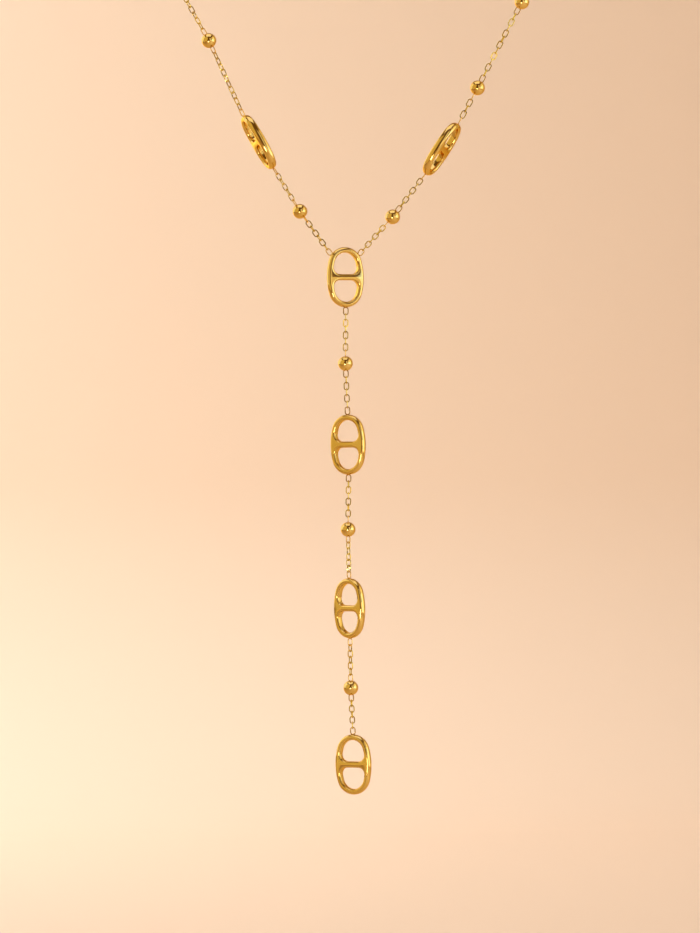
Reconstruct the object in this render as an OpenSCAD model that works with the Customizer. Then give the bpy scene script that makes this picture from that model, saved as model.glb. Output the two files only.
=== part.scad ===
// Lariat necklace: a loop of fine cable chain for the neck, with a straight drop at the front.
// Ovals with a crossbar and round beads are soldered into the chain, and a plain clasp closes it.
// Millimetres. The origin is at the nape, +Z is up and the front of the necklace faces -Y.

/* [Neck loop] */
// Height from the centre of the front oval up to the nape
front_drop = 112; // [104:1:120]
// Depth from the front of the necklace back to the nape
front_reach = 96; // [92:1:104]
// Length of the curve handles that round the sides of the loop
side_curve = 40; // [34:1:46]

/* [Ovals] */
// Height of an oval
oval_h = 16.2; // [15.6:0.1:17]
// Width of an oval
oval_w = 10.4; // [9.8:0.1:11]
// Thickness of an oval, front to back
oval_t = 2.2; // [1.8:0.05:2.5]
// Radius of the outline at the top and bottom
oval_end_r = 4.75; // [4.4:0.05:4.85]
// Width of the band that makes the outline
band_w = 1.5; // [1.5:0.05:1.8]
// Height of the crossbar
bar_h = 1.65; // [1.5:0.05:1.9]
// Radius of the fillets between the crossbar and the band
fillet_r = 1.75; // [1.2:0.05:1.85]
// Depth of the round outer side
nose_d = 0.8; // [0.5:0.05:0.85]
// Rounding of the edges round the holes
edge_r = 0.6; // [0.2:0.05:0.6]

/* [Beads] */
// Diameter of a bead
bead_d = 4; // [3.5:0.1:4.5]

/* [Chain] */
// Thickness of the wire
wire_d = 0.3; // [0.24:0.02:0.34]
// Width of a chain link
link_w = 1.55; // [1.5:0.05:1.8]
// Clear gap where two links pass through each other
link_gap = 0.1; // [0.1:0.02:0.2]
// Depth of a soldered link in a bead
bead_bite = 0.4; // [0.3:0.05:0.6]
// Depth of a soldered link in an oval
oval_bite = 0.15; // [0.1:0.05:0.2]

/* [Clasp] */
// Length of the clasp
clasp_l = 8; // [7:0.5:10]
// Diameter of the clasp
clasp_d = 3; // [2.6:0.1:3.6]

/* [Hidden] */
gold = "#d8a03c";

// Places in the front plane are given from the centre of the front oval: x to the right, z up.
// An oval leans off the vertical, to the right if positive, and is turned about its own length.
// [name, x, z, lean, turn]
OVALS = [
    ["y_oval", 0, 0, 0, 20],
    ["left_oval", -22.7, 36.7, -28.9, -78],
    ["right_oval", 26.5, 34, 34.2, 74.5],
    ["drop_oval_1", 0, -45, 0, -28],
    ["drop_oval_2", -0.35, -89, 0, -42],
    ["drop_oval_3", 0, -131, 0, -25]];
// [name, x, z]
BEADS = [
    ["left_bead_1", -11.9, 17.9],
    ["left_bead_2", -35.6, 64.2],
    ["right_bead_1", 13, 16],
    ["right_bead_2", 36.4, 50.3],
    ["right_bead_3", 48.7, 73.2],
    ["drop_bead_1", -0.35, -23.2],
    ["drop_bead_2", -0.4, -67.8],
    ["drop_bead_3", -0.35, -110.4]];
// Where the chain leaves the front plane on its way round the neck
// [name, x, z]
RISES = [
    ["left_rise", -43.8, 79.5],
    ["right_rise", 50.6, 76.6]];
// Each run of chain goes from one piece to the next. A place on an oval is its top, bottom,
// left or right. The roll of the first link is 0 where it faces the front.
// [chain, first piece, place on it, last piece, place on it, links, roll]
RUNS = [
    ["left_chain", "y_oval", "left", "left_bead_1", "", 8, 10],
    ["left_chain", "left_bead_1", "", "left_oval", "bottom", 7, 70],
    ["left_chain", "left_oval", "top", "left_bead_2", "", 12, 45],
    ["left_chain", "left_bead_2", "", "left_rise", "", 9, 35],
    ["right_chain", "y_oval", "right", "right_bead_1", "", 8, 0],
    ["right_chain", "right_bead_1", "", "right_oval", "bottom", 8, 0],
    ["right_chain", "right_oval", "top", "right_bead_2", "", 5, 90],
    ["right_chain", "right_bead_2", "", "right_bead_3", "", 13, 0],
    ["right_chain", "right_bead_3", "", "right_rise", "", 1, 0],
    ["drop_chain", "y_oval", "bottom", "drop_bead_1", "", 8, 0],
    ["drop_chain", "drop_bead_1", "", "drop_oval_1", "top", 7, 0],
    ["drop_chain", "drop_oval_1", "bottom", "drop_bead_2", "", 8, 0],
    ["drop_chain", "drop_bead_2", "", "drop_oval_2", "top", 7, 40],
    ["drop_chain", "drop_oval_2", "bottom", "drop_bead_3", "", 7, 30],
    ["drop_chain", "drop_bead_3", "", "drop_oval_3", "top", 7, 0]];

function row(table, name) = [for (r = table) if (r[0] == name) r][0];
function is_oval(name) = len([for (r = OVALS) if (r[0] == name) 1]) > 0;
function is_bead(name) = len([for (r = BEADS) if (r[0] == name) 1]) > 0;
function place(r) = [r[1], -front_reach, r[2] - front_drop];

// Outline of an oval: two end arcs joined by two side arcs that meet them tangentially
end_y = oval_h / 2 - oval_end_r;
side_r = (pow(oval_w / 2, 2) + pow(end_y, 2) - pow(oval_end_r, 2)) / (oval_w - 2 * oval_end_r);
side_x = side_r - oval_w / 2;
side_a = atan(end_y / side_x);
// Centre of a fillet, and where it meets the inner side of the band
fillet_y = bar_h / 2 + fillet_r;
fillet_x = sqrt(pow(side_r - band_w - fillet_r, 2) - pow(fillet_y, 2)) - side_x;
fillet_a = atan(fillet_y / (fillet_x + side_x));
// Steps that each of these arcs and the rounding of an edge take
fillet_steps = 4;
side_steps = 2;
end_steps = 6;
edge_steps = 4;
// Place on the shoulder of the front oval where a neck chain is soldered
shoulder_a = 34;
shoulder = [oval_end_r * cos(shoulder_a), end_y + oval_end_r * sin(shoulder_a)];

// Places where chain is soldered to an oval, in the oval's own plane
function port(side) =
    side == "top" ? [0, oval_h / 2]
    : side == "bottom" ? [0, -oval_h / 2]
    : side == "left" ? [-shoulder[0], shoulder[1]]
    : shoulder;
// The same place in the necklace, after the oval's turn and its lean
function oval_point(r, p) =
    let (
        x = p[0] * cos(r[4]),
        y = p[0] * sin(r[4])
    )
    place(r) + [x * cos(r[3]) + p[1] * sin(r[3]), y, p[1] * cos(r[3]) - x * sin(r[3])];
function run_point(name, side) =
    is_oval(name) ? oval_point(row(OVALS, name), port(side))
    : is_bead(name) ? place(row(BEADS, name))
    : place(row(RISES, name));
// Distance from a run's point to where the wire of its end link starts
function run_start(name) = is_oval(name) ? -oval_bite : is_bead(name) ? bead_d / 2 - bead_bite : 0;

// The links of a run are as long as its length and their number ask
function run_dir(r) =
    let (d = run_point(r[3], r[4]) - run_point(r[1], r[2]))
    d / norm(d);
function run_span(r) =
    norm(run_point(r[3], r[4]) - run_point(r[1], r[2])) - run_start(r[1]) - run_start(r[3]);
function run_pitch(r) = (run_span(r) - 2 * wire_d - link_gap) / r[5];
function run_link_l(r) = run_pitch(r) + 2 * wire_d + link_gap;
function run_link_centre(r, k) =
    run_point(r[1], r[2]) + run_dir(r) * (run_start(r[1]) + run_link_l(r) / 2 + k * run_pitch(r));

// Sides of the loop, from where the chain leaves the front plane to the clasp
clasp_end = clasp_l / 2 - bead_bite;
clasp_link_l = 2.2;
nape_d = link_w;
nape_rings = 30;
nape_sides = 8;
function rise_run(side) = [for (r = RUNS) if (r[3] == str(side, "_rise")) r][0];
function nape_curve(side) =
    let (
        sign = side == "left" ? -1 : 1,
        r = rise_run(side),
        start = run_point(r[3], r[4]) + run_dir(r) * link_gap,
        finish = [sign * (clasp_end + clasp_link_l + link_gap), 0, 0]
    )
    [start, start + run_dir(r) * side_curve, finish + [sign * side_curve, 0, 0], finish];
function curve_point(c, t) =
    pow(1 - t, 3) * c[0] + 3 * pow(1 - t, 2) * t * c[1] + 3 * (1 - t) * t * t * c[2] + pow(t, 3) * c[3];
function curve_dir(c, t) =
    let (d = pow(1 - t, 2) * (c[1] - c[0]) + 2 * (1 - t) * t * (c[2] - c[1]) + t * t * (c[3] - c[2]))
    d / norm(d);
function curve_ring(c, t) =
    let (
        d = curve_dir(c, t),
        side = cross(d, [0, 1, 0]),
        u = side / norm(side),
        v = cross(d, u)
    )
    [for (i = [0:nape_sides - 1])
        let (a = 360 * i / nape_sides)
        curve_point(c, t) + nape_d / 2 * (cos(a) * u + sin(a) * v)];

// One chain link, its length along Z and its face to the front. A bend is cut from a ring with
// ring_fn segments and the wire has wire_fn sides.
module link(length, ring_fn = 24, wire_fn = 16) {
    bend_r = (link_w - wire_d) / 2;
    // Rounded, so that the straight wires end exactly where the bends start
    half = round(5000 * (length - link_w)) / 10000;
    for (up = [0, 1])
        rotate([0, 180 * up, 0])
        translate([0, 0, half])
        rotate([90, 0, 0])
        rotate_extrude(angle = 180, $fn = ring_fn)
        translate([bend_r, 0])
        circle(d = wire_d, $fn = wire_fn);
    for (x = [-bend_r, bend_r])
        translate([x, 0, -half])
        cylinder(h = 2 * half, d = wire_d, $fn = wire_fn);
}

// Link number k of a run, counted from its first piece
module run_link(r, k, ring_fn = 24, wire_fn = 16) {
    d = run_dir(r);
    translate(run_link_centre(r, k))
    rotate([0, acos(d[2]), atan2(d[1], d[0])])
    rotate([0, 0, r[6] + 90 * k - atan2(d[1], d[0])])
    link(run_link_l(r), ring_fn, wire_fn);
}

// The end links of the runs that meet a piece are soldered to it
module soldered_links(name, ring_fn = 24, wire_fn = 16) {
    for (r = RUNS) {
        if (r[1] == name)
            run_link(r, 0, ring_fn, wire_fn);
        if (r[3] == name)
            run_link(r, r[5] - 1, ring_fn, wire_fn);
    }
}

// Points along an arc, without its last one
function arc(c, r, from, to, n) =
    [for (i = [0:n - 1])
        let (a = from + (to - from) * i / n)
        c + r * [cos(a), sin(a)]];
// A quarter outline carried over to the left, as one line from right to left through its top point
function both_sides(right, top) =
    concat(right, [top], [for (i = [len(right) - 1:-1:0]) [-right[i][0], right[i][1]]]);
// Upper half of the outline and the upper hole, with the metal cut back by the given inset
function outline(inset) = both_sides(
    concat(
        arc([-side_x, 0], side_r - inset, 0, side_a, fillet_steps + side_steps),
        arc([0, end_y], oval_end_r - inset, side_a, 90, end_steps)),
    [0, end_y + oval_end_r - inset]);
function hole(inset) = both_sides(
    concat(
        arc([fillet_x, fillet_y], fillet_r + inset, -90, fillet_a, fillet_steps),
        arc([-side_x, 0], side_r - band_w + inset, fillet_a, side_a, side_steps),
        arc([0, end_y], oval_end_r - band_w + inset, side_a, 90, end_steps)),
    [0, end_y + oval_end_r - band_w + inset]);
// One level of the oval: the outline's upper half, its lower half, the upper hole and the lower one
function level(outer_inset, hole_inset, z) =
    let (
        o = outline(outer_inset),
        h = hole(hole_inset),
        last = len(o) - 1
    )
    concat(
        [for (p = o) [p[0], p[1], z]],
        [for (i = [last - 1:-1:1]) [o[i][0], -o[i][1], z]],
        [for (p = h) [p[0], p[1], z]],
        [for (p = h) [p[0], -p[1], z]]);
// Two triangles for a quad whose corners are given clockwise from outside
function quad(a, b, c, d) = [[a, b, c], [a, c, d]];
function flat(lists) = [for (list = lists, item = list) item];

// An oval with its crossbar, lying in the XY plane with its length along Y
module flat_oval() {
    // Upwards from the middle, the outer side is half an ellipse and the holes' edges are arcs
    edge = [for (i = [0:edge_steps])
        let (
            a = 90 * i / edge_steps,
            z = oval_t / 2 * sin(a),
            rise = max(0, z - oval_t / 2 + edge_r)
        )
        [nose_d * (1 - cos(a)), edge_r - sqrt(pow(edge_r, 2) - pow(rise, 2)), z]];
    levels = concat([for (i = [edge_steps:-1:1]) edge[i]], [for (e = edge) [e[0], e[1], -e[2]]]);
    n = 2 * (fillet_steps + side_steps + end_steps) + 1;
    rim = 2 * n - 2;
    size = rim + 2 * n;
    last = len(levels) - 1;
    // Start, length and direction of the three closed lines in a level
    lines = [[0, rim, 1], [rim, n, -1], [rim + n, n, 1]];
    walls = [for (i = [0:last - 1], line = lines, j = [0:line[1] - 1])
        let (
            a = i * size + line[0] + (line[2] > 0 ? j : (j + 1) % line[1]),
            b = i * size + line[0] + (line[2] > 0 ? (j + 1) % line[1] : j)
        )
        quad(a, b, b + size, a + size)];
    // Face strips between the outline and the two holes, then the crossbar with its two roots
    strips = [for (j = [0:n - 2])
        let (
            o = (rim - j) % rim,
            p = rim - j - 1
        )
        concat(quad(j, rim + j, rim + j + 1, j + 1), quad(rim + n + j, o, p, rim + n + j + 1))];
    roots = [[0, rim + n, rim], [n - 1, rim + n - 1, rim + 2 * n - 1]];
    bar = quad(rim, rim + n, rim + 2 * n - 1, rim + n - 1);
    front = concat(flat(strips), roots, bar);
    back = [for (t = front) [for (k = [2:-1:0]) t[k] + last * size]];
    polyhedron(
        points = [for (l = levels, p = level(l[0], l[1], l[2])) p],
        faces = concat(flat(walls), front, back));
}

module oval(r) {
    color(gold) {
        translate(place(r))
        rotate([0, r[3], 0])
        rotate([0, 0, r[4]])
        rotate([90, 0, 0])
        flat_oval();
        soldered_links(r[0], 12, 6);
    }
}

module bead(r) {
    color(gold) {
        translate(place(r))
        rotate([90, 0, 0])
        sphere(d = bead_d, $fn = 48);
        soldered_links(r[0]);
    }
}

// All the loose links of one chain
module chain(name) {
    color(gold)
    for (r = RUNS)
        if (r[0] == name)
            for (k = [0:r[5] - 1])
                if ((k > 0 || run_start(r[1]) == 0) && (k < r[5] - 1 || run_start(r[3]) == 0))
                    run_link(r, k);
}

// The plain chain round one side of the neck, as a round cord
module nape_chain(side) {
    c = nape_curve(side);
    rings = [for (i = [0:nape_rings]) curve_ring(c, i / nape_rings)];
    n = nape_sides;
    walls = [for (i = [0:nape_rings - 1], j = [0:n - 1])
        let (k = (j + 1) % n)
        quad(i * n + j, (i + 1) * n + j, (i + 1) * n + k, i * n + k)];
    start_cap = [for (j = [1:n - 2]) [0, j, j + 1]];
    finish_cap = [for (j = [1:n - 2]) [nape_rings * n, nape_rings * n + j + 1, nape_rings * n + j]];
    color(gold)
    polyhedron(points = [for (ring = rings, p = ring) p], faces = concat(flat(walls), start_cap, finish_cap));
}

// A plain barrel clasp at the nape, with a link soldered in each end
module clasp() {
    barrel = clasp_l / 2 - clasp_d / 2;
    color(gold) {
        rotate([0, 90, 0])
        cylinder(h = 2 * barrel, d = clasp_d, center = true, $fn = 48);
        for (side = [-1, 1]) {
            translate([side * barrel, 0, 0])
            sphere(d = clasp_d, $fn = 48);
            translate([side * (clasp_end + clasp_link_l / 2), 0, 0])
            rotate([0, 90, 0])
            link(clasp_link_l);
        }
    }
}

for (r = OVALS)
    oval(r);
for (r = BEADS)
    bead(r);
chain("left_chain");  // left_chain
chain("right_chain");  // right_chain
chain("drop_chain");  // drop_chain
nape_chain("left");  // left_nape_chain
nape_chain("right");  // right_nape_chain
clasp();
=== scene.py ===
import math
import random

import bmesh
import bpy
from mathutils import Matrix, Vector


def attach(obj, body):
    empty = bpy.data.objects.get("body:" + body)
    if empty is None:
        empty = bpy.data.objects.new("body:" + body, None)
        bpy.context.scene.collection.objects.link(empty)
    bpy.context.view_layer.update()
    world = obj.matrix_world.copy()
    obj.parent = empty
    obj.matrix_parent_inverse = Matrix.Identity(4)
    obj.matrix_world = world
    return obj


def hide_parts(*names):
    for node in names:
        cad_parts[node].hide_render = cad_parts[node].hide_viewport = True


print("Loading the packed necklace")
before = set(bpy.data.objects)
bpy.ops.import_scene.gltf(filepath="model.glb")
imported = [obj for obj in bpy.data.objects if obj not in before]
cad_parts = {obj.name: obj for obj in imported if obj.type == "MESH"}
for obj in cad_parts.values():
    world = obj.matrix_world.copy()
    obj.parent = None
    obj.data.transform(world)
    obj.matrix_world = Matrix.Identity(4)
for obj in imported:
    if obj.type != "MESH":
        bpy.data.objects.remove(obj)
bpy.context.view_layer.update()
toMetres = 0.001
sameSpot = 0.001    # points that lie nearer than this are one point
quarter = math.pi / 2


def deselectAll():
    if bpy.context.object and bpy.context.object.mode != "OBJECT":
        bpy.ops.object.mode_set(mode="OBJECT")
    bpy.ops.object.select_all(action="DESELECT")


def selectOnly(mesh, kind, wanted):
    # in edit mode: only the faces or edges that pass the test are selected
    bpy.ops.mesh.select_mode(type=kind)
    bpy.ops.mesh.select_all(action="DESELECT")
    bm = bmesh.from_edit_mesh(mesh)
    for part in (bm.faces if kind == "FACE" else bm.edges):
        if wanted(part):
            part.select_set(True)
    bmesh.update_edit_mesh(mesh)


def applyMirror(piece, axis):
    mirror = piece.modifiers.new("other half", "MIRROR")
    mirror.use_axis = [k == axis for k in "XYZ"]
    mirror.merge_threshold = sameSpot
    bpy.ops.object.modifier_apply(modifier=mirror.name)


def srgb(hexColour):
    # sRGB hex to linear red, green and blue, with alpha
    parts = [int(hexColour[i:i + 2], 16) / 255 for i in (1, 3, 5)]
    return tuple(c / 12.92 if c <= 0.04045 else ((c + 0.055) / 1.055) ** 2.4 for c in parts) + (1.0,)


def addNode(tree, kind, settings=None, links=None):
    # settings go to the node itself or to its input sockets, links name an input and what feeds it
    node = tree.nodes.new(kind)
    for key, value in (settings or {}).items():
        if isinstance(key, str) and hasattr(node, key):
            setattr(node, key, value)
        else:
            node.inputs[key].default_value = value
    for key, source in (links or {}).items():
        tree.links.new(source, node.inputs[key])
    return node


# the same gold plating on three kinds of steel; patches, smudges, waves and grit are given by their size.
# The real marks of buffing and drawing are too fine to show, so the grit is drawn this coarse.
castGold = {
    "deep": "#DFB04C", "light": "#ECCA74", "patchMm": 6.0,
    "smoothest": 0.05, "dullest": 0.13, "smudgeMm": 3.2,
    "waveMm": 2.6, "waveHeight": 0.010,
    "gritMm": 0.16, "gritHeight": 0.0005,
}
ballGold = {
    "deep": "#E1B14E", "light": "#EDCC76", "patchMm": 4.0,
    "smoothest": 0.035, "dullest": 0.09, "smudgeMm": 1.8,
    "waveMm": 1.9, "waveHeight": 0.004,
    "gritMm": 0.14, "gritHeight": 0.0003,
}
wireGold = {
    "deep": "#A27A0C", "light": "#FFE670", "patchMm": 1.2,
    "smoothest": 0.02, "dullest": 0.07, "smudgeMm": 0.9,
    "waveMm": 0.7, "waveHeight": 0.003,
    "gritMm": 0.10, "gritHeight": 0.0005,
}
rimTint = "#FFE6A0"             # at a grazing angle the gold stays a little yellow
smudgeRange = (0.35, 0.75)      # the noise between these goes from the smoothest to the dullest gold


def makeGold(name, look):
    material = bpy.data.materials.new(name)
    material.use_nodes = True
    tree = material.node_tree
    tree.nodes.clear()
    place = addNode(tree, "ShaderNodeTexCoord").outputs["Object"]
    patches = addNode(tree, "ShaderNodeTexNoise",
                      {"Scale": 1 / (look["patchMm"] * toMetres), "Detail": 2.0},
                      {"Vector": place})
    smudges = addNode(tree, "ShaderNodeTexNoise",
                      {"Scale": 1 / (look["smudgeMm"] * toMetres), "Detail": 4.0, "Roughness": 0.6},
                      {"Vector": place})
    waves = addNode(tree, "ShaderNodeTexNoise",
                    {"Scale": 1 / (look["waveMm"] * toMetres), "Detail": 1.0, "Roughness": 0.4},
                    {"Vector": place})
    grit = addNode(tree, "ShaderNodeTexNoise",
                   {"Scale": 1 / (look["gritMm"] * toMetres), "Detail": 3.0, "Roughness": 0.6},
                   {"Vector": place})
    # the colour mix has its two colours on inputs 6 and 7
    tone = addNode(tree, "ShaderNodeMix",
                   {"data_type": "RGBA", 6: srgb(look["deep"]), 7: srgb(look["light"])},
                   {0: patches.outputs["Fac"]})
    dull = addNode(tree, "ShaderNodeMapRange",
                   {"From Min": smudgeRange[0], "From Max": smudgeRange[1],
                    "To Min": look["smoothest"], "To Max": look["dullest"]},
                   {"Value": smudges.outputs["Fac"]})
    wavy = addNode(tree, "ShaderNodeBump", {"Strength": 1.0, "Distance": look["waveHeight"] * toMetres},
                   {"Height": waves.outputs["Fac"]})
    fine = addNode(tree, "ShaderNodeBump", {"Strength": 1.0, "Distance": look["gritHeight"] * toMetres},
                   {"Height": grit.outputs["Fac"], "Normal": wavy.outputs["Normal"]})
    shader = addNode(tree, "ShaderNodeBsdfPrincipled", {"Metallic": 1.0, "Specular Tint": srgb(rimTint)},
                     {"Base Color": tone.outputs[2], "Roughness": dull.outputs["Result"],
                      "Normal": fine.outputs["Normal"]})
    addNode(tree, "ShaderNodeOutputMaterial", {}, {"Surface": shader.outputs["BSDF"]})
    return material


print("Mixing the gold finishes")
# cast steel, plated and buffed: a mirror with soft waves, so that its lines of light wander a little
castFinish = makeGold("gold plated cast steel, buffed", castGold)
# pressed balls, plated and barrel polished: a cleaner mirror than the cast ovals
ballFinish = makeGold("gold plated steel balls, barrel polished", ballGold)
# drawn wire with flats, bent and closed: the smoothest of the three, so that its narrow flats flash
wireFinish = makeGold("gold plated steel wire, drawn", wireGold)


# the front oval's place below and before the nape; sideCurve: the handles at the hidden curve's two ends
neckLoop = {"frontDrop": 112, "frontReach": 96, "sideCurve": 40}

# x to the right and z up from the centre of the front oval, lean off the vertical, turn about its length
ovalPlaces = {
    "y_oval": {"x": 0, "z": 0, "lean": 0, "turn": 20},
    "left_oval": {"x": -22.7, "z": 36.7, "lean": -28.9, "turn": -78},
    "right_oval": {"x": 26.5, "z": 34, "lean": 34.2, "turn": 74.5},
    "drop_oval_1": {"x": 0, "z": -45, "lean": 0, "turn": -28},
    "drop_oval_2": {"x": -0.35, "z": -89, "lean": 0, "turn": -42},
    "drop_oval_3": {"x": 0, "z": -131, "lean": 0, "turn": -25},
}
beadPlaces = {
    "left_bead_1": {"x": -11.9, "z": 17.9},
    "left_bead_2": {"x": -35.6, "z": 64.2},
    "right_bead_1": {"x": 13, "z": 16},
    "right_bead_2": {"x": 36.4, "z": 50.3},
    "right_bead_3": {"x": 48.7, "z": 73.2},
    "drop_bead_1": {"x": -0.35, "z": -23.2},
    "drop_bead_2": {"x": -0.4, "z": -67.8},
    "drop_bead_3": {"x": -0.35, "z": -110.4},
}
# where the runs that show in the photograph end, just above its top edge
risePlaces = {
    "left_rise": {"x": -43.8, "z": 79.5},
    "right_rise": {"x": 50.6, "z": 76.6},
}
ovalShape = {
    "height": 16.2, "width": 10.4, "thickness": 2.2,
    "endRadius": 4.75,      # outline at the top and bottom
    "band": 1.5, "bar": 1.65, "fillet": 1.75,
    "nose": 0.8,            # depth of the round outer side
    "edge": 0.6,            # rounding of the edges round the holes
    "shoulder": 34,         # where a neck chain is soldered, up the end arc
    "filletSteps": 5, "sideSteps": 3, "endSteps": 14, "barSteps": 6,
    "noseRings": 10, "edgeRings": 6,
}
beadShape = {"diameter": 4, "segments": 40, "rings": 26, "seat": 0.5, "seatStep": 0.06, "seatDepth": 0.07}
linkShape = {"wire": 0.3, "width": 1.55, "gap": 0.1,
             "beadBite": 0.4, "ovalBite": 0.15,    # how deep an end link is let into its bead or oval
             "bendSteps": 14, "wireSides": 6,
             "flatten": 0.88,    # thickness of the wire to its width
             "crease": 40,       # past this angle two faces of the wire meet in an edge
             "sway": 14, "swaySeed": 7}    # how far a loose link hangs turned from its neighbours' square

# each run of chain: its node, the two pieces it joins and where, its links and the roll of its first link
chainRuns = [
    ("left_chain", "y_oval", "left", "left_bead_1", "", 8, 10),
    ("left_chain", "left_bead_1", "", "left_oval", "bottom", 7, 70),
    ("left_chain", "left_oval", "top", "left_bead_2", "", 12, 45),
    ("left_chain", "left_bead_2", "", "left_rise", "", 9, 35),
    ("right_chain", "y_oval", "right", "right_bead_1", "", 8, 0),
    ("right_chain", "right_bead_1", "", "right_oval", "bottom", 8, 0),
    ("right_chain", "right_oval", "top", "right_bead_2", "", 5, 90),
    ("right_chain", "right_bead_2", "", "right_bead_3", "", 13, 0),
    ("right_chain", "right_bead_3", "", "right_rise", "", 1, 0),
    ("drop_chain", "y_oval", "bottom", "drop_bead_1", "", 8, 0),
    ("drop_chain", "drop_bead_1", "", "drop_oval_1", "top", 7, 0),
    ("drop_chain", "drop_oval_1", "bottom", "drop_bead_2", "", 8, 0),
    ("drop_chain", "drop_bead_2", "", "drop_oval_2", "top", 7, 40),
    ("drop_chain", "drop_oval_2", "bottom", "drop_bead_3", "", 7, 30),
    ("drop_chain", "drop_bead_3", "", "drop_oval_3", "top", 7, 0),
]

# the outline is two end arcs joined by side arcs that meet them tangentially
halfWidth = ovalShape["width"] / 2
endY = ovalShape["height"] / 2 - ovalShape["endRadius"]
sideR = ((halfWidth ** 2 + endY ** 2 - ovalShape["endRadius"] ** 2)
         / (2 * halfWidth - 2 * ovalShape["endRadius"]))
sideX = sideR - halfWidth
sideA = math.atan(endY / sideX)
filletZ = ovalShape["bar"] / 2 + ovalShape["fillet"]
filletX = math.sqrt((sideR - ovalShape["band"] - ovalShape["fillet"]) ** 2 - filletZ ** 2) - sideX
filletA = math.atan(filletZ / (filletX + sideX))


def placeOf(row):
    return Vector((row["x"], -neckLoop["frontReach"], row["z"] - neckLoop["frontDrop"]))


def ovalTurn(row):
    return (Matrix.Rotation(math.radians(row["lean"]), 4, "Y")
            @ Matrix.Rotation(math.radians(row["turn"]), 4, "Z"))


def pointOf(name, port):
    if name in ovalPlaces:
        row = ovalPlaces[name]
        up = math.radians(ovalShape["shoulder"])
        side = {"left": -1, "right": 1}.get(port)
        if side:
            local = Vector((side * ovalShape["endRadius"] * math.cos(up), 0,
                            endY + ovalShape["endRadius"] * math.sin(up)))
        else:
            local = Vector((0, 0, ovalShape["height"] / 2 * (1 if port == "top" else -1)))
        return placeOf(row) + ovalTurn(row) @ local
    return placeOf(beadPlaces.get(name) or risePlaces[name])


def startOf(name):
    # from a run's point to where the wire of its end link begins
    if name in ovalPlaces:
        return -linkShape["ovalBite"]
    if name in beadPlaces:
        return beadShape["diameter"] / 2 - linkShape["beadBite"]
    return 0


# two neighbouring links lie over one another by this much
linkOverlap = 2 * linkShape["wire"] + linkShape["gap"]


def measureRun(run):
    first, firstPort, last, lastPort, count = run[1:6]
    a, b = pointOf(first, firstPort), pointOf(last, lastPort)
    direction = (b - a).normalized()
    pitch = ((b - a).length - startOf(first) - startOf(last) - linkOverlap) / count
    length = pitch + linkOverlap
    centres = [a + direction * (startOf(first) + length / 2 + k * pitch) for k in range(count)]
    return direction, length, centres


def makeLink():
    deselectAll()
    bend = (linkShape["width"] - linkShape["wire"]) / 2
    bpy.ops.mesh.primitive_torus_add(
        major_segments=linkShape["bendSteps"], minor_segments=linkShape["wireSides"],
        major_radius=bend, minor_radius=linkShape["wire"] / 2)
    link = bpy.context.object
    bpy.ops.object.mode_set(mode="EDIT")
    bpy.ops.transform.resize(value=(1, 1, linkShape["flatten"]))
    bpy.ops.object.mode_set(mode="OBJECT")
    # half a step round, so that the straight wires lie between two segments, then upright facing the front
    link.data.transform(Matrix.Rotation(quarter, 4, "X")
                        @ Matrix.Rotation(math.pi / linkShape["bendSteps"], 4, "Z"))
    bpy.ops.object.shade_smooth_by_angle(angle=math.radians(linkShape["crease"]))
    return link


linkSeed = makeLink()


def copyLink(length, centre, direction, roll):
    link = linkSeed.copy()
    link.data = linkSeed.data.copy()
    half = (length - linkShape["width"]) / 2
    for v in link.data.vertices:
        v.co.z += half if v.co.z > 0 else -half
    polar = math.acos(max(-1, min(1, direction.z)))
    around = math.atan2(direction.y, direction.x)
    link.data.transform(Matrix.Translation(centre)
                        @ Matrix.Rotation(around, 4, "Z")
                        @ Matrix.Rotation(polar, 4, "Y")
                        @ Matrix.Rotation(math.radians(roll) - around, 4, "Z"))
    bpy.context.collection.objects.link(link)
    return link


def joinPieces(parts, name, material):
    # one mesh from several, brought to metres, with its object at the origin
    deselectAll()
    for part in parts:
        part.select_set(True)
    bpy.context.view_layer.objects.active = parts[0]
    if len(parts) > 1:
        bpy.ops.object.join()
    piece = bpy.context.view_layer.objects.active
    piece.name = name
    piece.data.name = name
    piece.data.transform(Matrix.Scale(toMetres, 4))
    piece.data.materials.clear()
    piece.data.materials.append(material)
    return piece


def dress(piece, node):
    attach(piece, "root")
    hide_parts(node)


print("Measuring the runs of chain")
looseLinks = {"left_chain": [], "right_chain": [], "drop_chain": []}
solderedLinks = {name: [] for name in list(ovalPlaces) + list(beadPlaces)}
beadAxes = {name: Vector((0, 0, 0)) for name in beadPlaces}
riseEnds = {}
draws = random.Random(linkShape["swaySeed"])
for run in chainRuns:
    chain, first, _, last, _, count, roll = run
    direction, length, centres = measureRun(run)
    for k, centre in enumerate(centres):
        if k == 0 and first in solderedLinks:
            solderedLinks[first].append(copyLink(length, centre, direction, roll))
        elif k == count - 1 and last in solderedLinks:
            solderedLinks[last].append(copyLink(length, centre, direction, roll + 90 * k))
        else:
            sway = draws.uniform(-linkShape["sway"], linkShape["sway"])
            looseLinks[chain].append(copyLink(length, centre, direction, roll + 90 * k + sway))
    for name in (first, last):
        if name in beadAxes:
            beadAxes[name] += direction
    if last in risePlaces:
        riseEnds[last] = (centres[-1], direction, roll + 90 * (count - 1))

print("Linking the visible chain")
for node, links in looseLinks.items():
    dress(joinPieces(links, node + "_links", wireFinish), node)


def arcPoints(cx, cz, radius, fromAngle, toAngle, count):
    # without the last point
    return [(cx + radius * math.cos(a), cz + radius * math.sin(a))
            for a in (fromAngle + (toAngle - fromAngle) * i / count for i in range(count))]


def bothSides(right, top):
    return right + [(0, top)] + [(-x, z) for x, z in reversed(right)]


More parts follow.
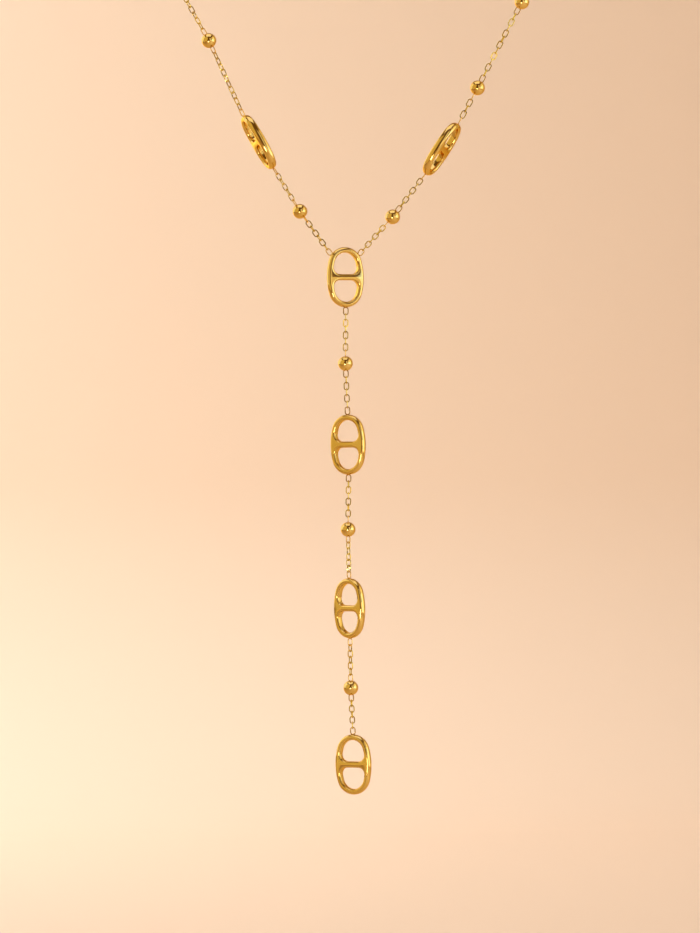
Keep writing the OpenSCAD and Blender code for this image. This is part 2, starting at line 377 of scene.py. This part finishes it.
def outerLine(inset):
    # upper half of the outline, from right to left
    top = ovalShape["endRadius"] - inset
    return bothSides(
        arcPoints(-sideX, 0, sideR - inset, 0, sideA, ovalShape["filletSteps"] + ovalShape["sideSteps"])
        + arcPoints(0, endY, top, sideA, quarter, ovalShape["endSteps"]),
        endY + top)


def holeLine(inset):
    # the upper hole, from right to left and back along the bar
    top = ovalShape["endRadius"] - ovalShape["band"] + inset
    span, steps = 2 * filletX, ovalShape["barSteps"]
    return bothSides(
        arcPoints(filletX, filletZ, ovalShape["fillet"] + inset, -quarter, filletA, ovalShape["filletSteps"])
        + arcPoints(-sideX, 0, sideR - ovalShape["band"] + inset, filletA, sideA, ovalShape["sideSteps"])
        + arcPoints(0, endY, top, sideA, quarter, ovalShape["endSteps"]),
        endY + top) + [(span * i / steps - filletX, ovalShape["bar"] / 2 - inset) for i in range(1, steps)]


def growRim(mesh, line, rings):
    # the open rim on the line at the first inset and depth is drawn out to the next ones, ring by ring
    for (inset, y), (nextInset, nextY) in zip(rings, rings[1:]):
        spots = line(inset)

        def spotOf(v):
            gap, k = min(((v.co.x - x) ** 2 + (abs(v.co.z) - z) ** 2, k) for k, (x, z) in enumerate(spots))
            return k if gap < sameSpot ** 2 and abs(v.co.y - y) < sameSpot else None

        selectOnly(mesh, "EDGE", lambda e: e.is_boundary and all(spotOf(v) is not None for v in e.verts))
        bpy.ops.mesh.extrude_region_move()
        bm = bmesh.from_edit_mesh(mesh)
        nextSpots = line(nextInset)
        for v in [v for v in bm.verts if v.select]:
            x, z = nextSpots[spotOf(v)]
            v.co = (x, nextY, z if v.co.z > 0 else -z)
        bmesh.update_edit_mesh(mesh)


def makeOval():
    # the flat of the front face: a closed line of edges round the upper hole, extruded once to the nose
    # and to the middle of the bar, and mirrored to the lower half
    deselectAll()
    nose, edge, face = ovalShape["nose"], ovalShape["edge"], ovalShape["thickness"] / 2
    hole, outer = holeLine(edge), outerLine(nose)
    steps = ovalShape["barSteps"]
    reach = halfWidth - nose
    middle = [(2 * reach * i / steps - reach, 0) for i in range(1, steps)]
    bpy.ops.mesh.primitive_circle_add(vertices=len(hole), radius=1)
    oval = bpy.context.object
    mesh = oval.data
    for v, (x, z) in zip(mesh.vertices, hole):
        v.co = (x, -face, z)
    bpy.ops.object.mode_set(mode="EDIT")
    bpy.ops.mesh.select_all(action="SELECT")
    bpy.ops.mesh.extrude_region_move()
    bpy.ops.object.mode_set(mode="OBJECT")
    for v, (x, z) in zip(list(mesh.vertices)[len(hole):], outer + middle):
        v.co = (x, -face, z)
    applyMirror(oval, "Z")

    # its outer rim goes round half the nose and its holes' rims go round the edge and in to the middle
    bpy.ops.object.mode_set(mode="EDIT")
    turns = [quarter * (1 - k / ovalShape["noseRings"]) for k in range(ovalShape["noseRings"] + 1)]
    growRim(mesh, outerLine, [(nose * (1 - math.cos(a)), -face * math.sin(a)) for a in turns])
    turns = [quarter * k / ovalShape["edgeRings"] for k in range(ovalShape["edgeRings"] + 1)]
    rounding = [(edge * (1 - math.sin(a)), edge * (1 - math.cos(a)) - face) for a in turns]
    growRim(mesh, holeLine, rounding + [(0, 0)])
    bpy.ops.object.mode_set(mode="OBJECT")
    applyMirror(oval, "Y")
    bpy.ops.object.mode_set(mode="EDIT")
    bpy.ops.mesh.select_all(action="SELECT")
    bpy.ops.mesh.normals_make_consistent(inside=False)
    bpy.ops.object.mode_set(mode="OBJECT")
    bpy.ops.object.shade_smooth()
    return oval


print("Shaping the ovals")
ovalSeed = makeOval()
for name, row in ovalPlaces.items():
    oval = ovalSeed.copy()
    oval.data = ovalSeed.data.copy()
    bpy.context.collection.objects.link(oval)
    oval.data.transform(Matrix.Translation(placeOf(row)) @ ovalTurn(row))
    dress(joinPieces([oval] + solderedLinks[name], name + "_cast", castFinish), name)


def makeBead():
    deselectAll()
    radius = beadShape["diameter"] / 2
    bpy.ops.mesh.primitive_uv_sphere_add(segments=beadShape["segments"], ring_count=beadShape["rings"],
                                         radius=radius)
    bead = bpy.context.object
    bpy.ops.object.mode_set(mode="EDIT")
    # a shallow seat at each pole, where the end link is soldered in
    seat = beadShape["seat"]
    selectOnly(bead.data, "FACE", lambda f: all(math.hypot(v.co.x, v.co.y) < seat for v in f.verts))
    bpy.ops.mesh.inset(thickness=beadShape["seatStep"])
    bpy.ops.transform.resize(value=(1, 1, 1 - beadShape["seatDepth"] / radius))
    bpy.ops.object.mode_set(mode="OBJECT")
    bpy.ops.object.shade_smooth()
    return bead


print("Polishing the beads")
beadSeed = makeBead()
for name, row in beadPlaces.items():
    bead = beadSeed.copy()
    bead.data = beadSeed.data.copy()
    bpy.context.collection.objects.link(bead)
    aim = beadAxes[name].normalized().to_track_quat("Z", "Y").to_matrix().to_4x4()
    bead.data.transform(Matrix.Translation(placeOf(row)) @ aim)
    dress(joinPieces([bead] + solderedLinks[name], name + "_ball", ballFinish), name)

claspShape = {"length": 8, "diameter": 3, "linkLength": 2.2, "sides": 40, "roundSteps": 12,
              "roundShare": 0.999,    # of the radius, which leaves a tiny flat at each end
              "cornerAngle": 60}      # sharper corners than this are rounded


def makeClasp():
    # a plain barrel with full round ends
    deselectAll()
    radius = claspShape["diameter"] / 2
    bpy.ops.mesh.primitive_cylinder_add(vertices=claspShape["sides"], radius=radius,
                                        depth=claspShape["length"], rotation=(0, quarter, 0))
    barrel = bpy.context.object
    bpy.ops.object.transform_apply(location=True, rotation=True, scale=True)
    rounding = barrel.modifiers.new("round ends", "BEVEL")
    rounding.width = radius * claspShape["roundShare"]
    rounding.segments = claspShape["roundSteps"]
    rounding.limit_method = "ANGLE"
    rounding.angle_limit = math.radians(claspShape["cornerAngle"])
    bpy.ops.object.modifier_apply(modifier=rounding.name)
    bpy.ops.object.shade_smooth()
    return barrel


print("Closing the loop at the nape")
claspParts = [makeClasp()]
claspEnd = claspShape["length"] / 2 - linkShape["beadBite"]
for side in (-1, 1):
    middle = Vector((side * (claspEnd + claspShape["linkLength"] / 2), 0, 0))
    claspParts.append(copyLink(claspShape["linkLength"], middle, Vector((1, 0, 0)), 0))
dress(joinPieces(claspParts, "clasp_barrel", ballFinish), "clasp")

# pitch: about how far it is from link to link, so that a whole number of links fits
napeChain = {"pitch": 1.62, "curveSteps": 400}


def napePath(side, start, direction):
    # the line on from the last visible link, the source's curve and the line into the clasp's link
    sign = -1 if side == "left" else 1
    tubeStart = pointOf(side + "_rise", "") + direction * linkShape["gap"]
    finish = Vector((sign * (claspEnd + claspShape["linkLength"] + linkShape["gap"]), 0, 0))
    curve = [tubeStart, tubeStart + direction * neckLoop["sideCurve"],
             finish + Vector((sign * neckLoop["sideCurve"], 0, 0)), finish]
    points = [start]
    for i in range(napeChain["curveSteps"] + 1):
        t = i / napeChain["curveSteps"]
        points.append(sum((w * c for w, c in zip(
            ((1 - t) ** 3, 3 * (1 - t) ** 2 * t, 3 * (1 - t) * t * t, t ** 3), curve)), Vector((0, 0, 0))))
    points.append(Vector((sign * (claspEnd + claspShape["linkLength"] / 2), 0, 0)))
    return points


def alongPath(points, lengths, s):
    k = 1
    while k < len(points) - 1 and lengths[k] < s:
        k += 1
    part = (s - lengths[k - 1]) / (lengths[k] - lengths[k - 1])
    return points[k - 1].lerp(points[k], part), (points[k] - points[k - 1]).normalized()


for side in ("left", "right"):
    start, direction, lastRoll = riseEnds[side + "_rise"]
    points = napePath(side, start, direction)
    lengths = [0]
    for a, b in zip(points, points[1:]):
        lengths.append(lengths[-1] + (b - a).length)
    count = round(lengths[-1] / napeChain["pitch"]) - 1
    pitch = lengths[-1] / (count + 1)
    firstRoll = lastRoll + 90
    # the last link stands square to the clasp's, so the small rest is spread as a twist
    twist = ((90 - (firstRoll + 90 * (count - 1)) + 90) % 180 - 90) / (count - 1)
    links = []
    for k in range(count):
        centre, heading = alongPath(points, lengths, pitch * (k + 1))
        links.append(copyLink(pitch + linkOverlap, centre, heading, firstRoll + (90 + twist) * k))
    node = side + "_nape_chain"
    dress(joinPieces(links, node + "_links", wireFinish), node)
    print(" ", side, "side of the neck:", count, "links of pitch", round(pitch, 3), "mm")

for seed in (linkSeed, ovalSeed, beadSeed):
    bpy.data.objects.remove(seed)

stage = {"floorZ": -410, "wallY": 1650, "leftX": -2600, "rightX": 2600, "frontY": -3600, "height": 2600,
         "coveRadius": 240, "coveSteps": 16, "paper": "#F7E1CA", "paperRoughness": 0.9}


def makeStage():
    # a plain pale floor that rises behind as a wall
    deselectAll()
    bpy.ops.mesh.primitive_plane_add(size=2)
    floor = bpy.context.object
    floor.name = "studio_floor"
    low, back, front, left, right, top = (
        stage[k] * toMetres for k in ("floorZ", "wallY", "frontY", "leftX", "rightX", "height"))
    for v in floor.data.vertices:
        v.co = (right if v.co.x > 0 else left, back if v.co.y > 0 else front, low)
    bpy.ops.object.mode_set(mode="EDIT")
    selectOnly(floor.data, "EDGE", lambda e: all(abs(v.co.y - back) < sameSpot * toMetres for v in e.verts))
    bpy.ops.mesh.extrude_region_move(TRANSFORM_OT_translate={"value": (0, 0, top)})
    bpy.ops.object.mode_set(mode="OBJECT")
    cove = floor.modifiers.new("cove", "BEVEL")
    cove.width = stage["coveRadius"] * toMetres
    cove.segments = stage["coveSteps"]
    cove.limit_method = "ANGLE"
    bpy.ops.object.modifier_apply(modifier=cove.name)
    bpy.ops.object.shade_smooth()
    paper = bpy.data.materials.new("matt studio paper")
    paper.use_nodes = True
    tree = paper.node_tree
    tree.nodes.clear()
    shader = addNode(tree, "ShaderNodeBsdfPrincipled",
                     {"Base Color": srgb(stage["paper"]), "Roughness": stage["paperRoughness"]})
    addNode(tree, "ShaderNodeOutputMaterial", {}, {"Surface": shader.outputs["BSDF"]})
    floor.data.materials.append(paper)


print("Laying the floor")
makeStage()

# from: azimuth to the camera's right and height above its level, as the necklace sees the light;
# glow: how bright its panel looks; spread: the angle of its beam, where that is a narrow one;
# on: what it falls on. The lights on the paper leave no mark in the metal, the cards on the metal
# show in it alone.
lights = {
    "wall wash": {"from": (-62, 34), "away": 1500, "aim": (-510, 1600, -150), "spread": 112,
                  "size": (1200, 1200), "glow": 3.95, "colour": "#F6FCFF", "on": "paper"},
    "warm wall fill": {"from": (62, 30), "away": 1700, "aim": (500, 1600, -50),
                       "size": (1200, 1200), "glow": 0.25, "colour": "#FFA478", "on": "paper"},
    "floor wash": {"from": (0, 70), "away": 1900, "aim": (200, 700, -410),
                   "size": (1500, 1100), "glow": 1.3, "colour": "#FFFAF4", "on": "paper"},
    "front floor wash": {"from": (25, 72), "away": 1500, "aim": (250, -250, -410),
                         "size": (900, 900), "glow": 2.9, "colour": "#FFE6B8", "on": "paper"},
    "cool pool on the floor": {"from": (50, 80), "away": 500, "aim": (417, -446, -410),
                               "size": (500, 500), "glow": 3.6, "colour": "#B1D3FF", "on": "paper"},
    "overhead panel": {"from": (-90, 87), "away": 1300,
                       "size": (1400, 1250), "glow": 1.0, "colour": "#FFFBF4", "on": "metal"},
    "overhead panel, its cool sheet": {"from": (-90, 87), "away": 1290, "size": (1400, 1250),
                                       "glow": 0.65, "colour": "#6C8CFF", "on": "metal"},
    "right softbox": {"from": (76, 16), "away": 1300,
                      "size": (1370, 1500), "glow": 0.62, "colour": "#FFF6E6", "on": "metal"},
    "right softbox, its middle": {"from": (72, 9), "away": 1290,
                                  "size": (1050, 1050), "glow": 0.5, "colour": "#DCE6FF", "on": "metal"},
    "right softbox, its low wing": {"from": (33, -6), "away": 1290,
                                    "size": (700, 455), "glow": 0.8, "colour": "#FFF6E6", "on": "metal"},
    "right softbox, its inner edge": {"from": (23, 16), "away": 1290,
                                      "size": (420, 900), "glow": 0.9, "colour": "#ECF2FF", "on": "metal"},
    "right softbox, its bulb": {"from": (62, 3), "away": 1280,
                                "size": (920, 640), "glow": 1.6, "colour": "#9CC0FF", "on": "metal"},
    "right card": {"from": (108, 18), "away": 1200,
                   "size": (1300, 1750), "glow": 0.45, "colour": "#FFF8EC", "on": "metal"},
    "left panel": {"from": (-57, 18), "away": 1200,
                   "size": (1700, 1500), "glow": 0.62, "colour": "#FFF0B4", "on": "metal"},
    "left white card": {"from": (-115, 22), "away": 1190,
                        "size": (1000, 1220), "glow": 1.0, "colour": "#F2F8FF", "on": "metal"},
    "left white card, its cool sheet": {"from": (-115, 20), "away": 1180, "size": (950, 1100),
                                        "glow": 0.75, "colour": "#5C84FF", "on": "metal"},
    "back left strip": {"from": (-158, 17), "away": 1150,
                        "size": (400, 900), "glow": 0.6, "colour": "#DCE8FF", "on": "metal"},
    "lamp under the camera": {"from": (-8, -15), "away": 700,
                              "size": (120, 120), "glow": 16, "colour": "#F0F4FF", "on": "metal"},
}
lightAim = (0, -96, -120)       # where a light looks if its row names no aim: the middle of the front
wholeBeam = 180
room = {"colour": "#7A5A34", "strength": 0.85}     # the dim room, mirrored where no card stands


def hangLight(name, row):
    azimuth, above = (math.radians(v) for v in row["from"])
    toward = Vector((math.sin(azimuth) * math.cos(above), -math.cos(azimuth) * math.cos(above),
                     math.sin(above)))
    aim = Vector(row.get("aim", lightAim)) * toMetres
    at = aim + toward * row["away"] * toMetres
    data = bpy.data.lights.new(name, "AREA")
    data.shape = "RECTANGLE"
    data.size, data.size_y = (v * toMetres for v in row["size"])
    data.energy = row["glow"] * math.pi * data.size * data.size_y
    data.spread = math.radians(row.get("spread", wholeBeam))
    data.color = srgb(row["colour"])[:3]
    lamp = bpy.data.objects.new(name, data)
    lamp.matrix_world = Matrix.Translation(at) @ (-toward).to_track_quat("-Z", "Y").to_matrix().to_4x4()
    lamp.visible_camera = False
    lamp.visible_glossy = row["on"] == "metal"
    lamp.visible_diffuse = row["on"] == "paper"
    bpy.context.collection.objects.link(lamp)


print("Hanging the lights")
for name, row in lights.items():
    hangLight(name, row)
world = bpy.data.worlds.new("studio room")
world.use_nodes = True
world.node_tree.nodes.clear()
dusk = addNode(world.node_tree, "ShaderNodeBackground",
               {"Color": srgb(room["colour"]), "Strength": room["strength"]})
addNode(world.node_tree, "ShaderNodeOutputWorld", {}, {"Surface": dusk.outputs["Background"]})
bpy.context.scene.world = world

# level and square on, rolled by the photograph's own degree; frontOval is its place in the image, in pixels
view = {"distance": 1000, "pixelsPerMm": 3.72, "frontOval": (345.3, 277.2), "image": (700, 933),
        "roll": -0.96, "sensor": 36, "nearest": 50, "farthest": 20000}


def makeCamera():
    data = bpy.data.cameras.new("camera")
    camera = bpy.data.objects.new("camera", data)
    bpy.context.collection.objects.link(camera)
    wide, high = view["image"]
    frameHeight = high / view["pixelsPerMm"]
    data.sensor_fit = "AUTO"
    data.sensor_width = view["sensor"]
    data.lens = view["sensor"] * view["distance"] / frameHeight
    roll = math.radians(view["roll"])
    # from the front oval to the middle of the picture, turned back by the roll
    dx = (wide / 2 - view["frontOval"][0]) / view["pixelsPerMm"]
    dz = (view["frontOval"][1] - high / 2) / view["pixelsPerMm"]
    x = dx * math.cos(roll) - dz * math.sin(roll)
    z = dx * math.sin(roll) + dz * math.cos(roll)
    at = Vector((x, -neckLoop["frontReach"] - view["distance"], z - neckLoop["frontDrop"])) * toMetres
    camera.matrix_world = (Matrix.Translation(at) @ Matrix.Rotation(quarter, 4, "X")
                           @ Matrix.Rotation(roll, 4, "Z"))
    data.clip_start, data.clip_end = view["nearest"] * toMetres, view["farthest"] * toMetres
    bpy.context.scene.camera = camera


print("Setting the camera")
makeCamera()
bpy.context.scene.view_settings.view_transform = "Standard"
